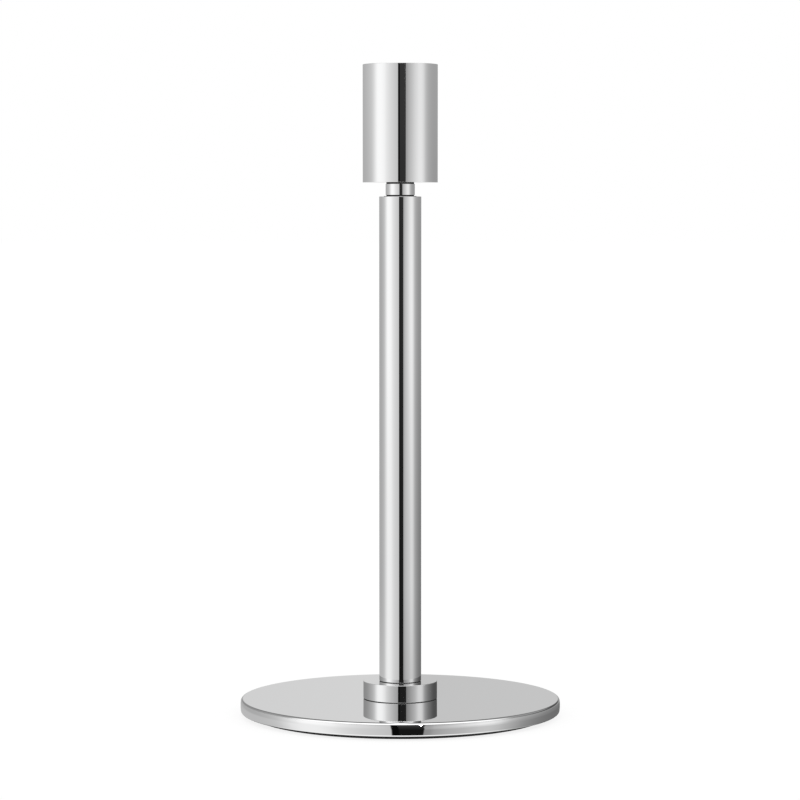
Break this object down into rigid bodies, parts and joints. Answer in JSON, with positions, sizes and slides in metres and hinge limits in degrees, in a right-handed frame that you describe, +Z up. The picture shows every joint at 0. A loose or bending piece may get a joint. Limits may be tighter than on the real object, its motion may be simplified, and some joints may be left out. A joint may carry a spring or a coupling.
{
  "type": "flag pole stand",
  "caption": "Polished chrome table-top pole stand: round disc foot, low collar, slim tubular stem, narrow neck and an upright cylindrical socket open at the top for a short pole.",
  "frame": {"origin": "centre of the resting plane, under the foot pad", "axes": "+Z up along the stand's axis; the stand is round, so -Y is taken as its front"},
  "size_m": [0.1718, 0.1718, 0.3485],
  "materials": {
    "polished_chrome": "mirror polished",
    "zinc_steel": "bright zinc plated",
    "turned_steel": "as turned",
    "black_rubber": "matt",
    "pad_foam": "matt, fine cell",
    "sleeve_nylon": "moulded, matt",
    "black_felt": "pressed felt"
  },
  "bodies": {
    "stand": {"floor_pad": "pad_foam", "base_plate": "polished_chrome", "foot_washer": "zinc_steel", "foot_lock_washer": "zinc_steel", "foot_nut": "zinc_steel", "collar_gasket": "black_rubber", "collar": "polished_chrome", "stem_gasket": "black_rubber", "stem_tube": "polished_chrome", "stem_plug": "turned_steel", "neck_lower_washer": "black_rubber", "neck_ring": "polished_chrome", "neck_upper_washer": "black_rubber", "socket_cup": "polished_chrome", "socket_washer": "zinc_steel", "socket_lock_washer": "zinc_steel", "socket_nut": "zinc_steel", "tie_rod": "zinc_steel"},
    "sleeve": {"pole_sleeve": "sleeve_nylon", "sleeve_felt": "black_felt"}
  },
  "joints": [
    {"name": "sleeve_lift", "type": "slide", "parent": "stand", "child": "sleeve", "axis": [0, 0, 1], "range_m": [0, 0.065]}
  ]
}
